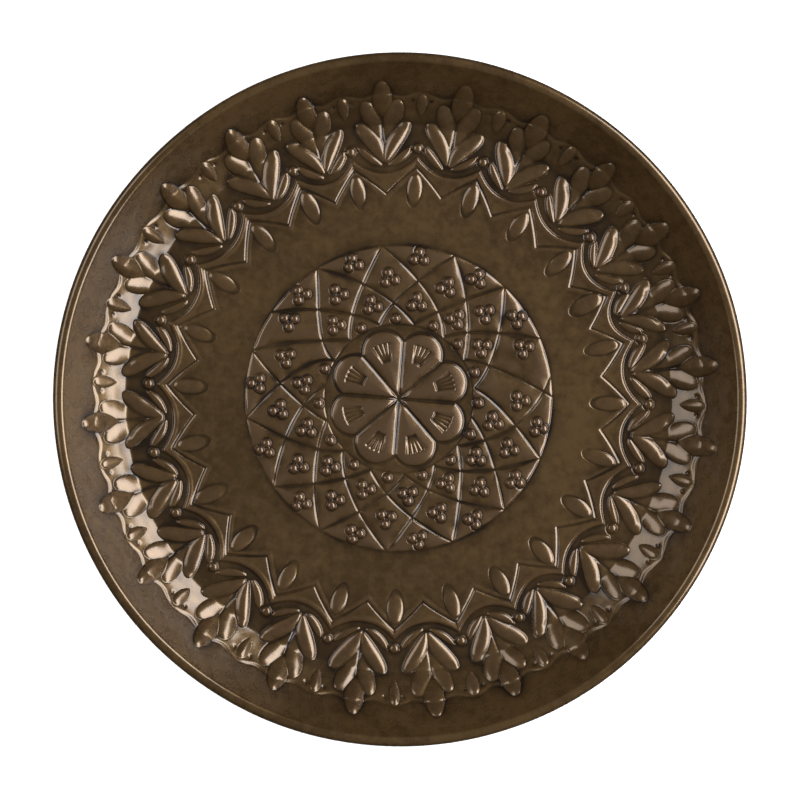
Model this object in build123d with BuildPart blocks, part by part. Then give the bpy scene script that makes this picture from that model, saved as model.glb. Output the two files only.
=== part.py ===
from build123d import *
import os
from math import asin, atan2, cos, degrees, hypot, radians, sin, tan

# Round serving tray raised from one disc of sheet copper, its edge rolled over a steel wire.
# The ornament is embossed: each bead, petal and leaf is a low boss, hollow from below.
# Millimetres, +Z up, origin on the table under the middle of the tray.

# Pan and rolled edge
TRAY_DIAMETER = 400.0
TRAY_HEIGHT = 35.0
SHEET = 0.9             # thickness of the copper
WIRE_RADIUS = 2.5       # steel wire inside the rolled edge
WIRE_PLAY = 0.1         # the roll closes this far from the wire
FLOOR_RADIUS = 158.5    # flat floor, up to the foot of the shoulder
CREASE_RADIUS = 177.4   # where the shoulder ends and the steeper wall begins
SHOULDER_FOOT = 28.0    # slope of the shoulder at its foot, degrees
SHOULDER_TOP = 42.0     # slope of the shoulder at the crease, degrees
ROLL_END_ANGLE = 200.0  # where the rolled edge stops, short of the wall, degrees

# Embossed ornament: round beads, and petals and leaves with sloping sides
BEAD_RADIUS = 2.8       # in plan
BEAD_HEIGHT = 1.6
PETAL_RADIUS = 10.4     # round outer end of a petal
PETAL_HEIGHT = 1.8
LEAF_LENGTH = 22.0
LEAF_WIDTH = 5.6
LEAF_HEIGHT = 1.1
SIDE_SLOPE = 45.0       # lean of the sides from upright, degrees
RING_DEPTH = 0.3        # V groove chased round the medallion and round its rosette

# Medallion: petals round the centre, then rings of trefoils of beads
RINGS = (42.5, 89.6)
PETALS = 8
PETAL_CIRCLE = 29.0
PETAL_PHASE = 18.0
LATTICE_CELLS = 15
LATTICE_PHASE = 10.5
SINGLE_BEADS = 45.8             # circle of the single beads beside the rosette
TREFOILS = (                    # circle of each ring of trefoils, and its turn in half cells
    (57.0, 1),
    (70.0, 0),
    (83.0, 1),
)
TREFOIL_REACH = 3.4             # from a trefoil's middle to each of its beads

# Border: a bead and a pair of leaves in every pitch
BORDER_PITCHES = 24
BORDER_PHASE = -3.0
BORDER_BEADS = 146.0
LEAF_CIRCLE = 148.0
LEAF_LEAN = 33.0                # slant of a leaf from the tray's radius, degrees
LEAF_OFFSET = 4.7               # from the bead to the leaf's middle, in degrees round the tray

# The roll around the wire
roll_inner = WIRE_RADIUS + WIRE_PLAY
roll_outer = roll_inner + SHEET
roll_r = TRAY_DIAMETER / 2 - roll_outer
roll_z = TRAY_HEIGHT - roll_outer


def on_roll(radius, angle):
    """Point at an angle around the centre of the rolled edge."""
    return (roll_r + radius * cos(radians(angle)), roll_z + radius * sin(radians(angle)))


shoulder_radius = (CREASE_RADIUS - FLOOR_RADIUS) / (
    sin(radians(SHOULDER_TOP)) - sin(radians(SHOULDER_FOOT))
)
shoulder_middle = (SHOULDER_FOOT + SHOULDER_TOP) / 2


def on_shoulder(radius, angle):
    """Point on an arc about the centre of the shoulder's curve, where the arc has this slope."""
    return (
        FLOOR_RADIUS + radius * sin(radians(angle)) - shoulder_radius * sin(radians(SHOULDER_FOOT)),
        SHEET - radius * cos(radians(angle)) + shoulder_radius * cos(radians(SHOULDER_FOOT)),
    )


def below(point, slope_before, slope_after):
    """Corner of the lower face under a corner of the upper face, one sheet's thickness away."""
    middle = radians((slope_before + slope_after) / 2)
    reach = SHEET / cos(radians((slope_after - slope_before) / 2))
    return (point[0] + reach * sin(middle), point[1] - reach * cos(middle))


# The wall runs straight from the crease and meets the roll on a tangent
foot = (FLOOR_RADIUS, SHEET)
crease = on_shoulder(shoulder_radius, SHOULDER_TOP)
to_roll = (roll_r - crease[0], roll_z - crease[1])
wall_angle = degrees(atan2(to_roll[1], to_roll[0]) + asin(roll_outer / hypot(*to_roll)))
wall_top = on_roll(roll_outer, 90 + wall_angle)
wall_top_below = on_roll(roll_inner, 90 + wall_angle)
crease_below = below(crease, SHOULDER_TOP, wall_angle)
foot_below = below(foot, 0, SHOULDER_FOOT)
roll_turn = 90 + wall_angle + 360 - ROLL_END_ANGLE
roll_middle = 90 + wall_angle - roll_turn / 2


def polar(radius, angle, height=0.0):
    """Point on a circle round the tray's axis."""
    return Vector(radius * cos(radians(angle)), radius * sin(radians(angle)), height)


# Where the petals stand
petal_places = []
for i in range(PETALS):
    petal_places.append(Location((0, 0, 0), (0, 0, PETAL_PHASE + i * 360 / PETALS)))

# A bead is the cap of a sphere whose middle lies below the floor
bead_sphere = (BEAD_RADIUS**2 + BEAD_HEIGHT**2) / (2 * BEAD_HEIGHT)
bead_depth = SHEET + BEAD_HEIGHT - bead_sphere
cell = 360 / LATTICE_CELLS
bead_places = []
for i in range(LATTICE_CELLS):
    bead_places.append(polar(SINGLE_BEADS, LATTICE_PHASE + i * cell, bead_depth))
    for circle, half_cells in TREFOILS:
        angle = LATTICE_PHASE + (i + half_cells / 2) * cell
        for turn in (0, 120, 240):
            reach = polar(TREFOIL_REACH, angle + turn, bead_depth)
            bead_places.append(polar(circle, angle) + reach)

# The border has a bead at every pitch, and leaves in pairs that meet in a V between two beads
pitch = 360 / BORDER_PITCHES
leaf_places = []
for i in range(BORDER_PITCHES):
    angle = BORDER_PHASE + i * pitch
    bead_places.append(polar(BORDER_BEADS, angle, bead_depth))
    for side in (-1, 1):
        place = polar(LEAF_CIRCLE, angle + side * LEAF_OFFSET)
        leaf_places.append(Location(place, (0, 0, angle + side * (LEAF_OFFSET + LEAF_LEAN))))


def petal_shape(inset, base):
    """A petal along X whose flanks run to a point near the tray's axis."""
    flank = 180 / PETALS
    radius = PETAL_RADIUS - inset
    point = PETAL_CIRCLE - radius / sin(radians(flank))
    shoulder_x = PETAL_CIRCLE - radius * sin(radians(flank))
    shoulder_y = radius * cos(radians(flank))
    with BuildPart() as petal:
        with BuildSketch(Plane.XY.offset(base)):
            with BuildLine():
                Line((point, 0), (shoulder_x, -shoulder_y))
                ThreePointArc(
                    (shoulder_x, -shoulder_y), (PETAL_CIRCLE + radius, 0), (shoulder_x, shoulder_y)
                )
                Line((shoulder_x, shoulder_y), (point, 0))
            make_face()
        extrude(amount=PETAL_HEIGHT, taper=SIDE_SLOPE)
    return petal.part


def leaf_shape(inset, base):
    """A leaf along X, pointed at both ends."""
    half_length = LEAF_LENGTH / 2 - inset
    half_width = LEAF_WIDTH / 2 - inset
    with BuildPart() as leaf:
        with BuildSketch(Plane.XY.offset(base)):
            with BuildLine():
                ThreePointArc((-half_length, 0), (0, -half_width), (half_length, 0))
                ThreePointArc((half_length, 0), (0, half_width), (-half_length, 0))
            make_face()
        extrude(amount=LEAF_HEIGHT, taper=SIDE_SLOPE)
    return leaf.part


# The sheet keeps its thickness over each boss: the hollow below is inset all round
hollow_inset = SHEET * tan(radians(45 - SIDE_SLOPE / 2))
petal_boss = petal_shape(0, SHEET)
petal_hollow = petal_shape(hollow_inset, 0)
leaf_boss = leaf_shape(0, SHEET)
leaf_hollow = leaf_shape(hollow_inset, 0)

with BuildPart() as bead_boss:
    Sphere(bead_sphere)

with BuildPart() as bead_hollow:
    Sphere(bead_sphere - SHEET)

# Tray pan: floor, shoulder, wall and rolled edge in one sheet, then the embossing
with BuildPart() as tray_pan:
    with BuildSketch(Plane.XZ):
        with BuildLine():
            Line((0, SHEET), foot)
            ThreePointArc(foot, on_shoulder(shoulder_radius, shoulder_middle), crease)
            Line(crease, wall_top)
            ThreePointArc(
                wall_top, on_roll(roll_outer, roll_middle), on_roll(roll_outer, ROLL_END_ANGLE)
            )
            Line(on_roll(roll_outer, ROLL_END_ANGLE), on_roll(roll_inner, ROLL_END_ANGLE))
            ThreePointArc(
                on_roll(roll_inner, ROLL_END_ANGLE),
                on_roll(roll_inner, roll_middle),
                wall_top_below,
            )
            Line(wall_top_below, crease_below)
            ThreePointArc(
                crease_below, on_shoulder(shoulder_radius + SHEET, shoulder_middle), foot_below
            )
            Line(foot_below, (0, 0))
            Line((0, 0), (0, SHEET))
        make_face()
    revolve(axis=Axis.Z)
    with BuildSketch(Plane.XZ):
        for ring in RINGS:
            with BuildLine():
                Polyline(
                    (ring - RING_DEPTH, SHEET),
                    (ring, SHEET - RING_DEPTH),
                    (ring + RING_DEPTH, SHEET),
                    close=True,
                )
            make_face()
    revolve(axis=Axis.Z, mode=Mode.SUBTRACT)
    with Locations(*petal_places):
        add(petal_boss, clean=False)
    with Locations(*bead_places):
        add(bead_boss.part, clean=False)
    with Locations(*leaf_places):
        add(leaf_boss, clean=False)
    with Locations(*petal_places):
        add(petal_hollow, clean=False, mode=Mode.SUBTRACT)
    with Locations(*bead_places):
        add(bead_hollow.part, clean=False, mode=Mode.SUBTRACT)
    with Locations(*leaf_places):
        add(leaf_hollow, clean=False, mode=Mode.SUBTRACT)
    split(bisect_by=Plane.XY, keep=Keep.TOP)

# Rim wire: a closed steel ring that stiffens the edge
with BuildPart() as rim_wire:
    with BuildSketch(Plane.XZ):
        with Locations((roll_r, roll_z)):
            Circle(WIRE_RADIUS)
    revolve(axis=Axis.Z)

tray_pan.part.label = "tray_pan"
rim_wire.part.label = "rim_wire"

os.makedirs("parts", exist_ok=True)
export_step(tray_pan.part, "parts/tray_pan.step")
export_step(rim_wire.part, "parts/rim_wire.step")
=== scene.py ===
import math

import bpy
import numpy as np
from mathutils import Matrix, Vector


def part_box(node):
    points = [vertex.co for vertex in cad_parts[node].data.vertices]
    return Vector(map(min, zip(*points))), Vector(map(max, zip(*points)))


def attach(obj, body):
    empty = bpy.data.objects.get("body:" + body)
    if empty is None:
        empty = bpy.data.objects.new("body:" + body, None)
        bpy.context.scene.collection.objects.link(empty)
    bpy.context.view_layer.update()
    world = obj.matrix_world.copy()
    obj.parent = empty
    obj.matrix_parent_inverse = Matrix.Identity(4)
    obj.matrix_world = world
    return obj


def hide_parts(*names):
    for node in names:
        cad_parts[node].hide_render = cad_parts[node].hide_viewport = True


# Embossed copper tray. The pan is rebuilt as one closed sheet whose upper and lower faces carry the
# ornament; the wire in its rolled edge is shown as it is. Sizes are millimetres and degrees in this
# script, angles run anticlockwise from +X seen from above, and meshes are made in metres.

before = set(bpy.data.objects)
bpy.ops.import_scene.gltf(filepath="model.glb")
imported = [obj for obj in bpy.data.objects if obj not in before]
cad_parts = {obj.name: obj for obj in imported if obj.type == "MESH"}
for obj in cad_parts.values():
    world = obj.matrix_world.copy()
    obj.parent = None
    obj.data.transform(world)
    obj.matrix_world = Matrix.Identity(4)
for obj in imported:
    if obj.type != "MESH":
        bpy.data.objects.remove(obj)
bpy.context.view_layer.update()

MM = 0.001

# ---------------------------------------------------------------- sizes read from the frame

wire_low, wire_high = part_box("rim_wire")
TRAY_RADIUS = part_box("tray_pan")[1].x / MM
WIRE_RADIUS = (wire_high.z - wire_low.z) / 2 / MM
ROLL_R = wire_high.x / MM - WIRE_RADIUS        # centre of the rolled edge: radius and height
ROLL_Z = (wire_high.z + wire_low.z) / 2 / MM
ROLL_OUTER = TRAY_RADIUS - ROLL_R

# ---------------------------------------------------------------- the pan's section

SHEET = 0.9
THINNEST = 0.3                                 # what the deepest punch leaves of the sheet
ROLL_INNER = ROLL_OUTER - SHEET
ROLL_END_ANGLE = 200.0                         # where the rolled edge stops, round its own centre
ROLL_STEPS = 40
FLOOR_RADIUS = 158.5                           # the floor ends and the shoulder starts
CREASE_RADIUS = 177.4                          # the shoulder ends and the steeper wall starts
SHOULDER_FOOT = 28.0                           # slope of the shoulder at its foot
SHOULDER_TOP = 42.0                            # and at the crease
FOOT_BEND = 1.5                                # the floor starts to bend this far before it ends
TURN_REACH = 4.0                               # the relief's direction turns this far from a crease
OUT_OF_ROUND = 0.12                            # largest of the waves that leave the wall out of round
OUT_OF_ROUND_WAVES = 5

# ---------------------------------------------------------------- medallion

MEDALLION_RADIUS = 89.6
ROSETTE_RING = 43.6
LINE_RADII = (89.5, 69.8, 55.8, 44.4)          # start of a lattice line and its three crossings
LINE_POINTS = 170
LATTICE_TWIST = -0.09                          # degrees of turn for each millimetre inwards
TWIST_START = 88.0                             # radius from which the twist is measured
FIRST_NODE = 161.6
# Turn from each lattice node to the next, clockwise: hand work, so no two are quite alike
NODE_STEPS = (16, 23.6, 25.8, 27.7, 22.1, 23.6, 22.4, 23.4, 23.5, 23, 25.1, 26.4, 24.1, 28.1)
SKIPPED_LEFT = 1                               # node whose anticlockwise line was left out
SKIPPED_RIGHT = 6                              # node whose clockwise line was left out
GAP_SHIFT = 8.0                                # the line beside that gap starts this much further on

PILLOW_EDGE, PILLOW_EDGE_WIDTH = 0.24, 1.2     # a cell's quick rise beside its lines
PILLOW_HEIGHT, PILLOW_WIDTH = 1.1, 6.5         # and its slow one towards the middle
PILLOW_UNEVEN, PILLOW_UNEVEN_WIDTH = 0.7, 7.0
LEAST_PILLOW = 0.1
CUT_DEPTH, CUT_WIDTH = 0.1, 0.4                # the sharp cut along each line
RING_DEPTH, RING_WIDTH = 0.12, 0.9             # the soft ring round the medallion

BEAD_RADIUS, BEAD_HEIGHT = 2.8, 2.5
BEAD_RING = 0.5                                # depth of the narrow ring round each bead
TREFOIL_REACH = 3.35                           # from a trefoil's middle to each of its beads
TREFOIL_TILT = 9.0
OUTER_TREFOILS, MIDDLE_TREFOILS, INNER_TREFOILS = 83.2, 70.3, 56.6
PUSHED_OUT = 8.0                               # a trefoil beside a line left out stands further out
SINGLE_BEADS, SINGLE_BEAD_TURN = 46.6, -3.6

# ---------------------------------------------------------------- rosette

PETALS = 8
PETAL_PHASE = 18.0
PETAL_ARC_CENTRE = 28.5
PETAL_ARC_RADIUS = 12.7
PETAL_FLANK = 0.8                              # share of the arc centre's radius with straight flanks
PETAL_EDGE, PETAL_EDGE_WIDTH = 0.35, 1.4
PETAL_HEIGHT, PETAL_WIDTH = 1.75, 8.5
SPANDREL_HEIGHT = 0.5                          # ground between the petals' ends and the ring
FAN_APEX = 15.4                                # the fan's ribs spread from this radius
FAN_NEAR, FAN_FAR = 6.4, 18.6                  # where the fan starts and ends, from its apex
FAN_HALF = 23.0                                # half its spread
FAN_RIBS = 5
FAN_DEPTH = 1.0
ROSETTE_RISE = 1.2                             # the whole rosette is pushed up this much at its middle
STAR_DEPTH, STAR_WIDTH = 1.8, 4.6              # dimple where the petals' grooves meet

# ---------------------------------------------------------------- border

FIRST_BORDER_BEAD = 13.8
# Turn from each border bead to the next, clockwise; the last two closed the ring
BORDER_STEPS = (
    15.2, 14.9, 15.1, 15.6, 14.2, 14.4, 15.5, 15.5, 15.4, 15.9, 15.1, 14.7,
    15.8, 14.8, 15.3, 16.4, 15.0, 13.9, 15.4, 15.3, 14.9, 15.4, 13.9,
)
BORDER_BEADS = 146.0
BORDER_BEAD_RADIUS, BORDER_BEAD_HEIGHT = 3.1, 2.7
ZIGZAG_POINT, ZIGZAG_RISE = 119.4, 15.6        # radius of the points towards the middle, and the rest
ZIGZAG_SLANT = 0.76                            # how much of a radial distance lies square to a line
SCALLOP_POINT, SCALLOP_RISE = 132.3, 9.2
SCALLOP_CURVE = 2.2                            # power of the scallop's curve between two beads
# Groove and ridge that follow the zigzag, and those that follow the scallops: height, how far
# inwards from the line, and width
ZIGZAG_RIDGES = ((-0.35, 0.0, 0.65), (0.4, 2.2, 1.2))
SCALLOP_RIDGES = ((-0.4, 0.0, 0.6), (0.62, 2.3, 1.4))
BAND_HEIGHT = 0.35                             # the ground between the zigzag and the scallops
CURTAIN_WAVE = 1.4
CURTAIN_STEP = 0.42                            # the shoulder stands this much above the wall
PIT_CIRCLE, PIT_TURN = 173.4, 1.8
PIT_DEPTH, PIT_WIDTH = 0.6, 1.1
ARCH_DEPTH = 0.35                              # groove that outlines every leaf

# ---------------------------------------------------------------- height map and mesh

CELL = 0.2                                     # pitch of the height map
HALF = 186.0                                   # half the side of the height map
PUNCH_SOFTNESS = 0.24                          # blur of the finished relief
SEED = 11

FINE = 0.33                                    # mesh pitch in the medallion
BORDER_PITCH = 0.42                            # in the border
COARSE = 0.9                                   # elsewhere
PLAIN_RING_END = 107.0                         # the border's ornament starts here
EMBOSSED_TO = 190.0                            # beyond this radius the wall is plain
EMBOSSED_FADE = 6.0
UPPER_LENGTH = 212.0                           # along the sheet from its middle over the roll


def smooth(t):
    """0 below 0, 1 above 1, and a soft step between."""
    t = np.clip(t, 0.0, 1.0)
    return t * t * (3 - 2 * t)


def rounded(t):
    """0 below 0, rising to level out at 1."""
    return 1 - (1 - np.clip(t, 0, 1)) ** 2


def ridge(offset, width):
    """1 where the offset is 0, fading on both sides of it over about the width."""
    return np.exp(-((offset / width) ** 2))


def polar(radius, angle):
    """Plan point at a radius and an angle in degrees."""
    a = math.radians(angle)
    return np.array((radius * math.cos(a), radius * math.sin(a)))


def running_angles(first, steps):
    """Angles reached from the first by turning clockwise through each step."""
    return [first - sum(steps[:i]) for i in range(len(steps) + 1)]


def near_angle(angle, reference):
    """The same direction as the angle, written within half a turn of the reference."""
    return reference + (angle - reference + 180) % 360 - 180


def soften(field, sigma):
    """Gaussian blur of a height map, sigma in millimetres."""
    reach = max(1, int(3 * sigma / CELL))
    offsets = np.arange(-reach, reach + 1)
    kernel = np.exp(-0.5 * (offsets * CELL / sigma) ** 2)
    kernel /= kernel.sum()
    for axis in (0, 1):
        out = np.zeros_like(field)
        for offset, weight in zip(offsets, kernel):
            out += np.float32(weight) * np.roll(field, offset, axis)
        field = out
    return field


def unevenness(size, wavelength, rng):
    """Smooth random field of unit height on a square grid, with bumps about one wavelength wide."""
    knots = int(2 * HALF / wavelength) + 4
    values = rng.normal(size=(knots, knots))
    place = np.linspace(1, knots - 3, size)
    low = place.astype(int)
    t = smooth(place - low)
    rows = values[low] * (1 - t)[:, None] + values[low + 1] * t[:, None]
    return (rows[:, low] * (1 - t) + rows[:, low + 1] * t).astype(np.float32)


class HeightMap:
    """Height of the embossing above the plain sheet, on a square grid seen in plan."""

    def __init__(self):
        self.size = int(round(2 * HALF / CELL)) + 1
        self.axis = np.linspace(-HALF, HALF, self.size).astype(np.float32)
        self.x, self.y = self.axis[None, :], self.axis[:, None]
        self.r = np.hypot(self.x, self.y)
        self.h = np.zeros((self.size, self.size), np.float32)
        self.domes = np.zeros_like(self.h)
        self.rings = np.zeros_like(self.h)
        self.leaves = np.zeros_like(self.h)

    def window(self, centre, reach):
        """Slices of the grid around a point, and the places of their cells in x and y."""
        low = [max(int((c - reach + HALF) / CELL), 0) for c in centre]
        high = [int((c + reach + HALF) / CELL) + 2 for c in centre]
        rows, columns = slice(low[1], high[1]), slice(low[0], high[0])
        return rows, columns, self.axis[columns][None, :], self.axis[rows][:, None]

    def bead(self, centre, radius, height):
        """A round bead sunk in a narrow ring."""
        rows, columns, x, y = self.window(centre, radius * 2)
        d = np.hypot(x - centre[0], y - centre[1]) / radius
        dome = height * np.sqrt(np.clip(1 - d * d, 0, 1))
        ring = -BEAD_RING * ridge(d - 1.04, 0.2)
        self.domes[rows, columns] = np.maximum(self.domes[rows, columns], dome)
        self.rings[rows, columns] = np.minimum(self.rings[rows, columns], ring)

    def add_beads(self):
        """Put the beads on the ground they were stamped into, rings first."""
        self.h = np.where(self.domes > 0, self.h - BEAD_RING + self.domes, self.h + self.rings)

    def pit(self, centre, width, depth):
        """A small round dent."""
        rows, columns, x, y = self.window(centre, 4 * width)
        self.h[rows, columns] -= depth * ridge(np.hypot(x - centre[0], y - centre[1]), width)

    def leaf(self, foot, tip, half_width, height, bend=0.0, foot_taper=0.9, tip_taper=0.45,
             fade=0.0):
        """A pillowed leaf from foot to tip. Small tapers make blunt ends, large ones long points;
        the middle line bows sideways by the bend, and the foot can fade into the ground."""
        along = tip - foot
        length = math.hypot(*along)
        side = np.array((-along[1], along[0])) / length
        control = (foot + tip) / 2 + side * bend * 2
        t = np.linspace(0, 1, 61)
        u = t[:, None]
        line = (1 - u) ** 2 * foot + 2 * u * (1 - u) * control + u * u * tip
        share = t**foot_taper * (1 - t) ** tip_taper
        share = share / share.max()
        widths = np.maximum(half_width * share, 1e-3)
        lifts = np.sqrt(share)
        if fade:
            lifts = lifts * smooth(t / fade)
        rows, columns, x, y = self.window((foot + tip) / 2, length / 2 + half_width + abs(bend) + 1)
        best = np.zeros((y.shape[0], x.shape[1]), np.float32)
        for (px, py), width, lift in zip(line, widths, lifts):
            d = np.hypot(x - px, y - py) / width
            best = np.maximum(best, lift * np.clip(1 - d * d, 0, 1))
        self.leaves[rows, columns] = np.maximum(self.leaves[rows, columns], height * best)

    def add_leaves(self):
        """Put the leaves on the ground, each outlined by a groove."""
        arch = -ARCH_DEPTH * ridge(self.leaves - 0.05, 0.2) * (self.leaves > 0)
        self.h = np.where(self.leaves > 0, np.maximum(self.h, self.leaves), self.h) + arch

    def sample(self, field, x, y):
        """Values of a field of this grid at plan points, by straight-line interpolation."""
        u = np.clip((x + HALF) / CELL, 0, self.size - 1.001)
        v = np.clip((y + HALF) / CELL, 0, self.size - 1.001)
        i, j = v.astype(int), u.astype(int)
        fv, fu = v - i, u - j
        top = field[i, j] * (1 - fu) + field[i, j + 1] * fu
        bottom = field[i + 1, j] * (1 - fu) + field[i + 1, j + 1] * fu
        return top * (1 - fv) + bottom * fv


# ---------------------------------------------------------------- embossing of the medallion

def twisted(angle, radius):
    """The lattice turns a little as it runs inwards."""
    return angle + LATTICE_TWIST * (TWIST_START - radius)


def lattice_lines(nodes):
    """Points along every lattice line. One leaves each node each way, curving inwards past the
    next node and on towards the one after it."""
    crossings = np.arange(len(LINE_RADII))
    steps = np.linspace(0, crossings[-1], LINE_POINTS)
    radii = np.polyval(np.polyfit(crossings, LINE_RADII, 3), steps)
    points = []
    for i, node in enumerate(nodes):
        for way in (1, -1):
            if (i, way) in ((SKIPPED_RIGHT, 1), (SKIPPED_LEFT, -1)):
                continue
            shift = GAP_SHIFT if (i, way) == (SKIPPED_RIGHT + 1, 1) else 0
            first = near_angle(nodes[(i + way) % len(nodes)], node)
            second = near_angle(nodes[(i + 2 * way) % len(nodes)], first)
            angles = (node + shift, (node + first) / 2, first, (first + second) / 2)
            swing = np.polyval(np.polyfit(crossings, angles, 3), steps)
            points += [polar(radius, twisted(angle, radius)) for radius, angle in zip(radii, swing)]
    return points


def distance_to_points(grid, points, reach):
    """Distance from every cell to the nearest of the points, no more than the reach."""
    field = np.full((grid.size, grid.size), reach, np.float32)
    for px, py in points:
        rows, columns, x, y = grid.window((px, py), reach)
        near = np.hypot(x - px, y - py)
        field[rows, columns] = np.minimum(field[rows, columns], near)
    return field


def trefoil(grid, radius, angle, tilt):
    """Three beads, one outwards and two inwards."""
    direction = twisted(angle, radius)
    for turn in (0, 120, 240):
        place = polar(radius, direction) + polar(TREFOIL_REACH, direction + turn + tilt)
        grid.bead(place, BEAD_RADIUS, BEAD_HEIGHT)


def emboss_medallion(grid, rng):
    """Lattice of pillowed cells with beads in them, between the rosette and the plain ring."""
    nodes = running_angles(FIRST_NODE, NODE_STEPS)
    near = distance_to_points(grid, lattice_lines(nodes), 7.0)
    r = grid.r
    edge = np.minimum(np.abs(MEDALLION_RADIUS - r), np.abs(r - ROSETTE_RING) + 1.0)
    near = np.minimum(near, edge)
    uneven = 1 + PILLOW_UNEVEN * unevenness(grid.size, PILLOW_UNEVEN_WIDTH, rng)
    pillow = PILLOW_EDGE * np.maximum(uneven, LEAST_PILLOW) * smooth(near / PILLOW_EDGE_WIDTH)
    pillow = pillow + PILLOW_HEIGHT * rounded(near / PILLOW_WIDTH)
    cut = -CUT_DEPTH * np.clip(1 - near / CUT_WIDTH, 0, 1)
    inside = (r < MEDALLION_RADIUS) & (r > ROSETTE_RING)
    grid.h = np.where(inside, pillow + cut, grid.h)
    grid.h -= RING_DEPTH * ridge(r - MEDALLION_RADIUS, RING_WIDTH)

    for i, node in enumerate(nodes):
        tilts = rng.uniform(-TREFOIL_TILT, TREFOIL_TILT, 4)
        gap = (node - nodes[(i + 1) % len(nodes)]) % 360
        between = node - gap / 2
        out = PUSHED_OUT if i in (SKIPPED_LEFT, SKIPPED_RIGHT) else 0
        trefoil(grid, MIDDLE_TREFOILS + out, node, tilts[0])
        if i not in (SKIPPED_LEFT - 1, SKIPPED_RIGHT):
            trefoil(grid, OUTER_TREFOILS, between, tilts[1])
            trefoil(grid, INNER_TREFOILS, between, tilts[2])
        if i != SKIPPED_LEFT:
            grid.bead(polar(SINGLE_BEADS, node + SINGLE_BEAD_TURN), BEAD_RADIUS, BEAD_HEIGHT)


def emboss_rosette(grid):
    """Eight pillowed petals with a ribbed fan sunk in each, their grooves meeting in a star."""
    r = grid.r
    turn = 360 / PETALS
    angle = np.degrees(np.arctan2(grid.y, grid.x))
    across = (angle - PETAL_PHASE + turn / 2) % turn - turn / 2
    px, py = r * np.cos(np.radians(across)), r * np.sin(np.radians(across))
    side = r * np.sin(np.radians(np.clip(turn / 2 - np.abs(across), 0, 90)))
    end = PETAL_ARC_RADIUS - np.hypot(px - PETAL_ARC_CENTRE, py)
    inside = np.where(px > PETAL_FLANK * PETAL_ARC_CENTRE, np.minimum(side, end), side)
    petal = PETAL_EDGE * smooth(inside / PETAL_EDGE_WIDTH) + PETAL_HEIGHT * rounded(inside / PETAL_WIDTH)

    fan_r = np.hypot(px - FAN_APEX, py)
    fan_angle = np.degrees(np.arctan2(py, px - FAN_APEX))
    in_fan = smooth((fan_r - FAN_NEAR) / 1.2) * smooth((FAN_FAR - fan_r) / 1.0)
    in_fan = in_fan * smooth((FAN_HALF - np.abs(fan_angle)) / 5.0)
    ribs = 0.5 + 0.5 * np.cos(np.radians(fan_angle / FAN_HALF * 180 * FAN_RIBS))
    petal = petal - in_fan * (FAN_DEPTH - 0.5 * ribs * smooth((fan_r - 8) / 5))

    spandrel = SPANDREL_HEIGHT * smooth(-end / 1.8) * smooth((ROSETTE_RING + 1.5 - r) / 3.0)
    rise = ROSETTE_RISE * (1 - (r / ROSETTE_RING) ** 2) - STAR_DEPTH * ridge(r, STAR_WIDTH)
    rosette = np.where(inside > 0, petal, spandrel) + rise
    grid.h = np.where(r < ROSETTE_RING, rosette, grid.h)


# ---------------------------------------------------------------- embossing of the border

def share_between(grid, beads):
    """How far each cell lies from one border bead to the next, from 0 to 1."""
    angle = np.degrees(np.arctan2(grid.y, grid.x))
    knots = np.array(beads[::-1])
    knots = np.concatenate((knots[-1:] - 360, knots, knots[:1] + 360))
    turned = (angle - knots[1]) % 360 + knots[1]
    place = np.interp(turned, knots, np.arange(len(knots)))
    return place - np.floor(place)


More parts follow.
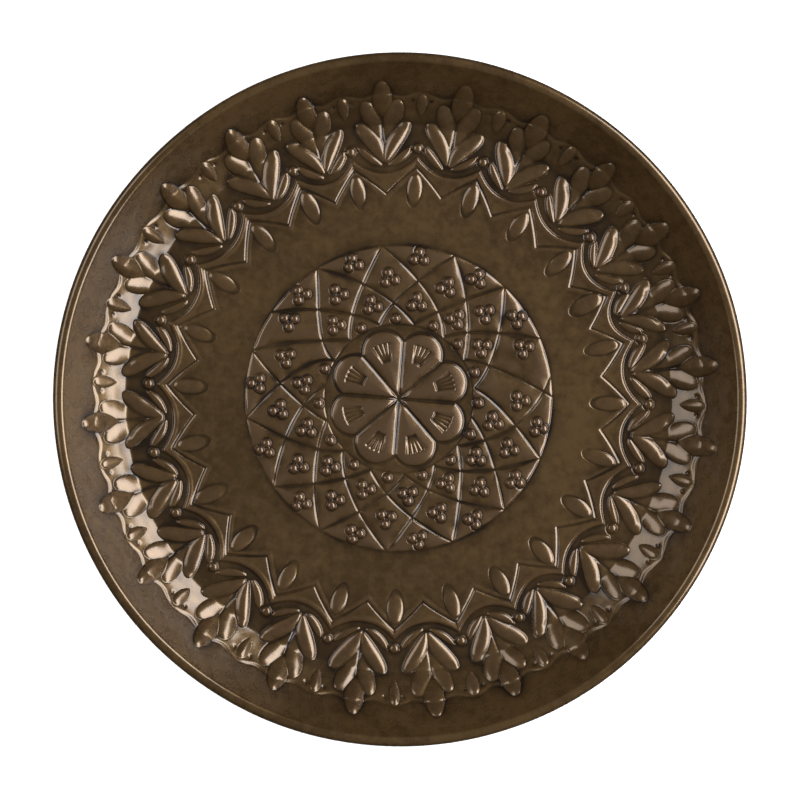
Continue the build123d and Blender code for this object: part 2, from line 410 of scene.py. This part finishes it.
def emboss_border(grid, beads, rng):
    """Zigzag, scallops, palmettes and curtain line, between the plain ring and the wall."""
    r = grid.r
    share = share_between(grid, beads)
    swing = np.abs(2 * share - 1)              # 1 at a bead, 0 halfway between two
    zigzag = ZIGZAG_POINT + ZIGZAG_RISE * swing
    scallop = SCALLOP_POINT + SCALLOP_RISE * swing**SCALLOP_CURVE
    curtain = CREASE_RADIUS + CURTAIN_WAVE * np.cos(np.radians(360 * 2 * share))

    band = BAND_HEIGHT * smooth((r - zigzag) / 1.6) * smooth((scallop - r) / 1.4)
    grid.h += band
    for height, inwards, width in ZIGZAG_RIDGES:
        grid.h += height * ridge((r - zigzag + inwards) * ZIGZAG_SLANT, width)
    for height, inwards, width in SCALLOP_RIDGES:
        grid.h += height * ridge(r - scallop + inwards, width)

    def leaf(foot, tip, half_width, height, **shape):
        """A leaf with the small slips of a hand-cut punch."""
        width = half_width * (1 + rng.normal(0, 0.05))
        lift = height * (1 + rng.normal(0, 0.09))
        grid.leaf(foot + rng.normal(0, 0.3, 2), tip + rng.normal(0, 0.5, 2), width, lift, **shape)

    for bead, following in zip(beads, beads[1:] + beads[:1]):
        half_pitch = (bead - following) % 360 / 2
        middle = bead - half_pitch
        for side in (1, -1):
            # Low leaf that follows the scallop, upper leaf on the shoulder, large leaf between
            leaf(polar(136.0, middle + side * 0.9), polar(146.8, middle + side * (half_pitch - 1.6)),
                 2.8, 1.4, bend=side * 0.9, foot_taper=0.6, tip_taper=0.5)
            leaf(polar(146.0, middle + side * 0.3), polar(171.4, middle + side * 3.2),
                 5.7, 1.3, bend=side * -1.0, foot_taper=1.3, tip_taper=0.5)
            leaf(polar(137.6, middle + side * 0.3), polar(159.6, middle + side * 5.5),
                 5.3, 2.3, bend=side * -1.9, foot_taper=0.62, tip_taper=0.42)
        # Leaf at the palmette's tip, drop above the bead, bud in the zigzag's point below it
        leaf(polar(162.6, middle), polar(182.4, middle), 6.4, 1.9,
             foot_taper=0.62, tip_taper=0.5, fade=0.7)
        leaf(polar(164.4, bead), polar(176.2, bead), 3.7, 1.2, foot_taper=1.0, tip_taper=0.5)
        leaf(polar(113.0, bead), polar(130.4, bead), 4.8, 1.6,
             foot_taper=0.4, tip_taper=0.36, fade=0.95)
        for side in (1, -1):
            grid.pit(polar(PIT_CIRCLE, bead + side * PIT_TURN), PIT_WIDTH, PIT_DEPTH)
        grid.bead(polar(BORDER_BEADS, bead), BORDER_BEAD_RADIUS, BORDER_BEAD_HEIGHT)
    grid.add_leaves()
    grid.h = grid.h + CURTAIN_STEP * smooth((r - FLOOR_RADIUS) / 8) * smooth((curtain - r) / 1.5)


# ---------------------------------------------------------------- section of the pan

def roll_point(radius, angle):
    """Radius and height of a point at an angle round the centre of the rolled edge."""
    return (ROLL_R + radius * math.cos(math.radians(angle)),
            ROLL_Z + radius * math.sin(math.radians(angle)))


FOOT_SINE = math.sin(math.radians(SHOULDER_FOOT))
TOP_SINE = math.sin(math.radians(SHOULDER_TOP))
SHOULDER_RADIUS = (CREASE_RADIUS - FLOOR_RADIUS) / (TOP_SINE - FOOT_SINE)
CREASE_Z = SHEET + SHOULDER_RADIUS * (math.sqrt(1 - FOOT_SINE**2) - math.sqrt(1 - TOP_SINE**2))
# The wall meets the roll on a tangent
TO_ROLL = (ROLL_R - CREASE_RADIUS, ROLL_Z - CREASE_Z)
WALL_ANGLE = math.degrees(
    math.atan2(TO_ROLL[1], TO_ROLL[0]) + math.asin(ROLL_OUTER / math.hypot(*TO_ROLL)))
WALL_TOP_R = roll_point(ROLL_OUTER, 90 + WALL_ANGLE)[0]


def upper_face(radius):
    """Height of the plain upper face, its slope, and the lean of the relief standing on it."""
    into_bend = radius - FLOOR_RADIUS + FOOT_BEND
    if into_bend <= 0:
        z, slope = SHEET, 0.0
    elif into_bend < 2 * FOOT_BEND:
        z = SHEET + math.tan(math.radians(SHOULDER_FOOT)) * into_bend**2 / (4 * FOOT_BEND)
        slope = SHOULDER_FOOT / 2
    elif radius <= CREASE_RADIUS:
        sine = FOOT_SINE + (radius - FLOOR_RADIUS) / SHOULDER_RADIUS
        slope = math.degrees(math.asin(sine))
        z = CREASE_Z - SHOULDER_RADIUS * (math.sqrt(1 - sine**2) - math.sqrt(1 - TOP_SINE**2))
    else:
        slope = WALL_ANGLE
        z = CREASE_Z + (radius - CREASE_RADIUS) * math.tan(math.radians(WALL_ANGLE))
    knots = [corner + side for corner in (FLOOR_RADIUS, CREASE_RADIUS)
             for side in (-TURN_REACH, TURN_REACH)]
    lean = np.interp(radius, knots, (0, SHOULDER_FOOT + 2, SHOULDER_TOP - 2, WALL_ANGLE))
    return z, slope, lean


def ring_pitch(radius):
    """Pitch of the upper face's mesh, fine only where there is ornament."""
    if radius < MEDALLION_RADIUS + 2:
        return FINE
    if PLAIN_RING_END <= radius <= EMBOSSED_TO:
        return BORDER_PITCH
    return COARSE


def stations():
    """Points round the sheet's section, each with its radius, height, normal, which face it is on
    (1 upper, 0 roll, -1 lower) and the pitch of its ring's points."""
    upper = []
    radius = FINE
    while radius < WALL_TOP_R - COARSE / 2:
        z, slope, lean = upper_face(radius)
        upper.append((radius, z, math.radians(lean), ring_pitch(radius)))
        radius += ring_pitch(radius) * math.cos(math.radians(slope))

    out = [(r, z, -math.sin(lean), math.cos(lean), 1, pitch) for r, z, lean, pitch in upper]
    over_roll = (90 + WALL_ANGLE, ROLL_END_ANGLE - 360)
    for rolled, turns, outward in ((ROLL_OUTER, over_roll, 1), (ROLL_INNER, over_roll[::-1], -1)):
        for angle in np.linspace(*turns, ROLL_STEPS):
            a = math.radians(angle)
            normal = (outward * math.cos(a), outward * math.sin(a))
            out.append((*roll_point(rolled, angle), *normal, 0, COARSE))
    # The lower face needs only every third ring, and stops just short of the middle
    for r, z, lean, _ in upper[:3:-3]:
        sine, cosine = math.sin(lean), math.cos(lean)
        out.append((r + SHEET * sine, z - SHEET * cosine, sine, -cosine, -1, COARSE))
    return out


# ---------------------------------------------------------------- mesh of the pan

def bridge(start_a, count_a, start_b, count_b):
    """Triangles between two rings of points, whatever their counts."""
    if count_b < count_a:
        return bridge(start_b, count_b, start_a, count_a)[:, ::-1]
    j = np.arange(count_b)
    apex = np.floor((j + 0.5) * count_a / count_b + 0.5).astype(int) % count_a
    fans = np.stack((start_a + apex, start_b + j, start_b + (j + 1) % count_b), 1)
    before = np.roll(apex, 1)
    turn = before != apex
    joins = np.stack((start_a + before, start_b + j, start_a + apex), 1)[turn]
    return np.concatenate((fans, joins))


def sheet_points(grid, rng):
    """Points of the embossed sheet ring by ring, how recessed each is, and for every ring its
    (first point, count) and its (length along the sheet, cosines, sines)."""
    # The narrow part of this recess measure follows the hollows, where the copper has its patina; the
    # broad part spreads painted shade round the raised ornament
    cavity = soften(grid.h, 1.4) - grid.h + 0.75 * (soften(grid.h, 5.0) - grid.h)
    phases = rng.uniform(0, 2 * math.pi, OUT_OF_ROUND_WAVES)
    points, recesses, rings, turns = [], [], [], []
    total = 0
    travelled = 0.0
    last = (0.0, SHEET)
    for radius, z, normal_r, normal_z, face, pitch in stations():
        count = 12 * max(1, round(2 * math.pi * radius / pitch / 12))
        angle = np.arange(count) * (2 * math.pi / count)
        cos, sin = np.cos(angle), np.sin(angle)
        height, recess = np.zeros(count), np.zeros(count)
        if face:
            fade = 1 - smooth((radius - EMBOSSED_TO + EMBOSSED_FADE) / EMBOSSED_FADE)
            height = grid.sample(grid.h, radius * cos, radius * sin) * fade * face
            recess = grid.sample(cavity, radius * cos, radius * sin) * fade
        if face < 0:
            height = np.minimum(height, 0)
        wave = sum(OUT_OF_ROUND / (1 + k) * np.sin((2 + 3 * k) * angle + phase)
                   for k, phase in enumerate(phases))
        r = radius + normal_r * height + wave * smooth((radius - 150) / 40)
        points.append(np.stack((r * cos, r * sin, z + normal_z * height), 1))
        recesses.append(recess)
        travelled += math.dist(last, (radius, z))
        last = (radius, z)
        turns.append((travelled, cos, sin))
        rings.append((total, count))
        total += count
    hubs = [(0, 0, points[0][:, 2].mean()), (0, 0, points[-1][:, 2].mean())]
    points.append(np.array(hubs))
    recesses.append(np.zeros(len(hubs)))
    return np.concatenate(points), np.concatenate(recesses), rings, turns


def sheet_triangles(rings):
    """Triangles between neighbouring rings, and round the hub at the middle of each face."""
    triangles = [bridge(*ring, *following) for ring, following in zip(rings, rings[1:])]
    total = sum(rings[-1])
    for hub, (start, count), way in ((total, rings[0], 1), (total + 1, rings[-1], -1)):
        i = np.arange(count)
        fan = np.stack((np.full(count, hub), start + i, start + (i + 1) % count), 1)
        triangles.append(fan[:, ::way])
    return np.concatenate(triangles).astype(np.int32)


def build_pan(grid, rng):
    """The sheet as one closed mesh, with the embossing on its upper and lower faces."""
    points, recesses, rings, turns = sheet_points(grid, rng)
    tris = sheet_triangles(rings)
    mesh = bpy.data.meshes.new("tray_sheet")
    mesh.vertices.add(len(points))
    mesh.vertices.foreach_set("co", (points * MM).astype(np.float32).ravel())
    mesh.loops.add(tris.size)
    mesh.loops.foreach_set("vertex_index", tris.ravel())
    mesh.polygons.add(len(tris))
    mesh.polygons.foreach_set("loop_start", np.arange(0, tris.size, 3, dtype=np.int32))
    mesh.polygons.foreach_set("use_smooth", np.ones(len(tris), bool))
    mesh.update(calc_edges=True)
    attribute = mesh.attributes.new("recess", "FLOAT", "POINT")
    attribute.data.foreach_set("value", recesses.astype(np.float32))
    add_bake_map(mesh, tris, rings, turns)
    pan = bpy.data.objects.new("tray_sheet", mesh)
    bpy.context.scene.collection.objects.link(pan)
    return pan


def add_bake_map(mesh, tris, rings, turns):
    """Texture map named OFBake: the sheet unrolled into two discs, the upper face with the outside of the
    roll in the large one, the rest in the small one."""
    large_centre, large_radius = 0.38, 0.37
    small_centre, small_radius = 0.87, 0.12
    total = sum(rings[-1])
    lengths = np.array([turn[0] for turn in turns])
    edge = int(np.searchsorted(lengths, UPPER_LENGTH))
    whole, back = lengths[edge], lengths[-1] - lengths[edge]
    upper = np.full((total + 2, 2), large_centre)
    lower = np.full((total + 2, 2), small_centre)
    ring_of = np.zeros(total + 2, int)
    for i, ((length, cos, sin), (start, count)) in enumerate(zip(turns, rings)):
        span = slice(start, start + count)
        turned = np.stack((cos, sin), 1)
        upper[span] += large_radius * turned * (length / whole)
        lower[span] += small_radius * turned * ((lengths[-1] - length) / back)
        ring_of[span] = i
    ring_of[total + 1] = len(rings)
    on_upper = ring_of[tris].max(1) <= edge
    coords = np.where(on_upper[:, None, None], upper[tris], lower[tris])
    layer = mesh.uv_layers.new(name="OFBake")
    layer.data.foreach_set("uv", coords.astype(np.float32).ravel())


# ---------------------------------------------------------------- materials

COPPER_DARK = (0.110, 0.059, 0.019, 1)
COPPER_LIGHT = (0.180, 0.103, 0.037, 1)
RUBBED_COPPER = (0.180, 0.104, 0.052, 1)
# Dark brown of the patina in the hollows, also laid on as painted shade round the raised ornament
PATINA_AND_SHADE = (0.028, 0.014, 0.005, 1)
WIRE_STAIN = (0.16, 0.11, 0.08, 1)
WIRE_STEEL = (0.42, 0.40, 0.38, 1)


def shader(name):
    """A new node material: its tree, its Principled node and a maker of further nodes."""
    material = bpy.data.materials.new(name)
    material.use_nodes = True
    tree = material.node_tree
    principled = tree.nodes["Principled BSDF"]

    def node(kind, inputs=None, **settings):
        made = tree.nodes.new(kind)
        for key, value in settings.items():
            setattr(made, key, value)
        for key, value in (inputs or {}).items():
            if isinstance(value, bpy.types.NodeSocket):
                tree.links.new(value, made.inputs[key])
            else:
                made.inputs[key].default_value = value
        return made

    return material, tree, principled, node


def map_range(node, value, low, high, to_low=0.0, to_high=1.0):
    """A value carried from one range to another, held at both ends."""
    limits = {"From Min": low, "From Max": high, "To Min": to_low, "To Max": to_high}
    return node("ShaderNodeMapRange", {"Value": value, **limits}).outputs["Result"]


def multiply(node, first, second):
    """The product of two values."""
    return node("ShaderNodeMath", {0: first, 1: second}, operation="MULTIPLY").outputs[0]


def two_colours(node, factor, low, low_colour, high, high_colour):
    """A ramp from one colour to the other as the factor runs from low to high."""
    ramp = node("ShaderNodeValToRGB", {"Fac": factor})
    for stop, place, colour in zip(ramp.color_ramp.elements, (low, high), (low_colour, high_colour)):
        stop.position = place
        stop.color = colour
    return ramp.outputs["Color"]


def copper_material():
    """Antiqued copper: mottled brown, rubbed brighter where it stands up, dark in the hollows from patina
    and from painted shade.
    """
    material, tree, principled, node = shader("antiqued_copper")
    place = node("ShaderNodeTexCoord").outputs["Object"]
    recess = node("ShaderNodeAttribute", attribute_name="recess").outputs["Fac"]

    def noise(**settings):
        return node("ShaderNodeTexNoise", {"Vector": place, **settings}).outputs["Fac"]

    broad = noise(Scale=14.0, Detail=4.0, Roughness=0.6)
    fine = noise(Scale=160.0, Detail=5.0, Roughness=0.7)
    patches = noise(Scale=32.0, Detail=3.0)
    both = node("ShaderNodeMath", {0: broad, 1: fine}, operation="ADD").outputs[0]
    colour = two_colours(node, multiply(node, both, 0.5), 0.42, COPPER_DARK, 0.58, COPPER_LIGHT)

    # The medallion is rubbed more than the border
    reach = node("ShaderNodeVectorMath", {0: place}, operation="LENGTH").outputs["Value"]
    wear = map_range(node, reach, 0.088, 0.11, 1.0, 0.4)
    rubbed = multiply(node, map_range(node, recess, 0.06, -0.4), wear)
    # Darkening by the recess measure: partly the patina in the hollows, partly painted shade spread round
    # the raised ornament
    patina_and_shade = multiply(node, map_range(node, recess, 0.0, 0.55), map_range(node, patches, 0.35, 0.6, 0.35))
    for factor, tint in ((rubbed, RUBBED_COPPER), (patina_and_shade, PATINA_AND_SHADE)):
        mix = node("ShaderNodeMix", {"Factor": factor}, data_type="RGBA")
        tree.links.new(colour, mix.inputs[6])
        mix.inputs[7].default_value = tint
        colour = mix.outputs[2]

    bump = node("ShaderNodeBump", {"Height": fine, "Strength": 0.12, "Distance": 0.0002})
    tree.links.new(colour, principled.inputs["Base Color"])
    tree.links.new(map_range(node, fine, 0.3, 0.7, 0.24, 0.32), principled.inputs["Roughness"])
    tree.links.new(bump.outputs["Normal"], principled.inputs["Normal"])
    principled.inputs["Metallic"].default_value = 0.75
    principled.inputs["Coat Weight"].default_value = 1.0
    principled.inputs["Coat Roughness"].default_value = 0.13
    return material


def wire_material():
    """Bare steel with brown stains."""
    material, tree, principled, node = shader("steel_wire")
    place = node("ShaderNodeTexCoord").outputs["Object"]
    stain = node("ShaderNodeTexNoise", {"Vector": place, "Scale": 90.0, "Detail": 4.0}).outputs["Fac"]
    colour = two_colours(node, stain, 0.35, WIRE_STAIN, 0.6, WIRE_STEEL)
    tree.links.new(colour, principled.inputs["Base Color"])
    tree.links.new(map_range(node, stain, 0.0, 1.0, 0.6, 0.3), principled.inputs["Roughness"])
    principled.inputs["Metallic"].default_value = 1.0
    return material


# ---------------------------------------------------------------- studio

SOFTBOX_DISTANCE = 1.3                         # metres
SOFTBOXES = (                                  # name, azimuth, elevation, size in metres, radiance
    ("right_softbox", 9, 36, (2.0, 0.60), 6.0),
    ("left_softbox", 163, 35, (1.1, 0.55), 2.1),
)
SOFTBOX_COLOUR = (0.92, 0.98, 1.07)
GROUND_LIGHT = 2.0
GROUND_GLOW = 0.35
GROUND_HALF = 4.0                              # half the ground's side, metres
ROOM_TOP = 0.142                               # brightness of the room overhead
ROOM_SIDES, ROOM_LEFT, ROOM_RIGHT = 0.035, 0.05, 0.06       # and low down
ROOM_COLOUR = (1.0, 0.95, 0.88, 1)

CAMERA_DISTANCE = 2.6                          # metres
CAMERA_LEAN, CAMERA_AZIMUTH = 3.0, 142.0       # from straight above, and which way
PICTURE_WIDTH = 0.4606                         # metres across the picture at the rim
SENSOR_WIDTH = 36.0
CAMERA_TARGET = (-0.0006, 0.0002, ROLL_Z * MM)


def make_ground():
    """White ground just under the tray, lit and slightly glowing; metal does not mirror it."""
    corners = [(x * GROUND_HALF, y * GROUND_HALF, 0) for x, y in ((-1, -1), (1, -1), (1, 1), (-1, 1))]
    mesh = bpy.data.meshes.new("studio_floor")
    mesh.from_pydata(corners, [], [(0, 1, 2, 3)])
    ground = bpy.data.objects.new("studio_floor", mesh)
    bpy.context.scene.collection.objects.link(ground)
    ground.location.z = -0.0002
    material, tree, principled, node = shader("studio_floor")
    principled.inputs["Base Color"].default_value = (0.9, 0.9, 0.9, 1)
    principled.inputs["Roughness"].default_value = 0.9
    principled.inputs["Emission Color"].default_value = (1, 1, 1, 1)
    principled.inputs["Emission Strength"].default_value = GROUND_GLOW
    mesh.materials.append(material)
    ground.visible_glossy = False


def add_softbox(name, azimuth, elevation, size, radiance):
    """Rectangular light aimed at the tray; azimuth anticlockwise from +X, size in metres."""
    data = bpy.data.lights.new(name, "AREA")
    data.shape = "RECTANGLE"
    data.size, data.size_y = size
    data.energy = radiance * math.pi * size[0] * size[1]
    data.color = SOFTBOX_COLOUR
    light = bpy.data.objects.new(name, data)
    bpy.context.scene.collection.objects.link(light)
    a, e = math.radians(azimuth), math.radians(elevation)
    place = Vector((math.cos(a) * math.cos(e), math.sin(a) * math.cos(e), math.sin(e)))
    light.location = place * SOFTBOX_DISTANCE
    light.rotation_mode = "QUATERNION"
    light.rotation_quaternion = (-place).to_track_quat("-Z", "Y")


def add_ground_light():
    """Light from straight above for the ground, which metal does not mirror."""
    data = bpy.data.lights.new("ground_light", "SUN")
    data.energy = GROUND_LIGHT
    light = bpy.data.objects.new("ground_light", data)
    bpy.context.scene.collection.objects.link(light)
    light.visible_glossy = False


def make_room():
    """A plain warm surrounding, brightest overhead and dim low down, least dim at the right."""
    world = bpy.data.worlds.new("studio")
    bpy.context.scene.world = world
    world.use_nodes = True
    tree = world.node_tree

    def node(kind, *inputs, **settings):
        made = tree.nodes.new(kind)
        for key, value in settings.items():
            setattr(made, key, value)
        for socket, value in zip(made.inputs, inputs):
            if isinstance(value, bpy.types.NodeSocket):
                tree.links.new(value, socket)
            else:
                socket.default_value = value
        return made.outputs[0]

    direction = node("ShaderNodeTexCoord").node.outputs["Generated"]
    split = node("ShaderNodeSeparateXYZ", direction).node
    low = node("ShaderNodeMapRange", split.outputs["Z"], 0.75, 0.1, 0.0, 1.0)
    right = node("ShaderNodeMapRange", split.outputs["X"], 0.0, 0.9, 0.0, ROOM_RIGHT - ROOM_SIDES)
    left = node("ShaderNodeMapRange", split.outputs["X"], 0.0, -0.9, 0.0, ROOM_LEFT - ROOM_SIDES)
    sides = node("ShaderNodeMath", right, left, operation="ADD")
    sides = node("ShaderNodeMath", sides, ROOM_SIDES - ROOM_TOP, operation="ADD")
    below_top = node("ShaderNodeMath", sides, low, operation="MULTIPLY")
    level = node("ShaderNodeMath", below_top, ROOM_TOP, operation="ADD")
    tree.links.new(level, tree.nodes["Background"].inputs["Strength"])
    tree.nodes["Background"].inputs["Color"].default_value = ROOM_COLOUR


def place_camera():
    """Almost straight above, leaning three degrees towards -X and +Y, with +Y up in the picture."""
    lean, azimuth = math.radians(CAMERA_LEAN), math.radians(CAMERA_AZIMUTH)
    back = Vector((math.sin(lean) * math.cos(azimuth), math.sin(lean) * math.sin(azimuth),
                   math.cos(lean)))
    right = Vector((0, 1, 0)).cross(back).normalized()
    up = back.cross(right)
    data = bpy.data.cameras.new("camera")
    data.sensor_width = SENSOR_WIDTH
    data.lens = SENSOR_WIDTH * CAMERA_DISTANCE / PICTURE_WIDTH
    camera = bpy.data.objects.new("camera", data)
    bpy.context.scene.collection.objects.link(camera)
    turned = Matrix((right, up, back)).transposed().to_4x4()
    camera.matrix_world = Matrix.Translation(Vector(CAMERA_TARGET) + back * CAMERA_DISTANCE) @ turned
    bpy.context.scene.camera = camera


# ---------------------------------------------------------------- build

rng = np.random.default_rng(SEED)
relief = HeightMap()
emboss_medallion(relief, rng)
emboss_rosette(relief)
emboss_border(relief, running_angles(FIRST_BORDER_BEAD, BORDER_STEPS), rng)
relief.add_beads()
relief.h = soften(relief.h, PUNCH_SOFTNESS)
for height, wavelength in ((0.08, 14), (0.04, 5)):
    relief.h += height * unevenness(relief.size, wavelength, rng)
relief.h = np.maximum(relief.h, THINNEST - SHEET)

pan = build_pan(relief, rng)
pan.data.materials.append(copper_material())
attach(pan, "root")
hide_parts("tray_pan")

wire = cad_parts["rim_wire"]
wire.data.materials.clear()
wire.data.materials.append(wire_material())

make_ground()
for softbox in SOFTBOXES:
    add_softbox(*softbox)
add_ground_light()
make_room()
place_camera()
bpy.context.scene.view_settings.view_transform = "Standard"
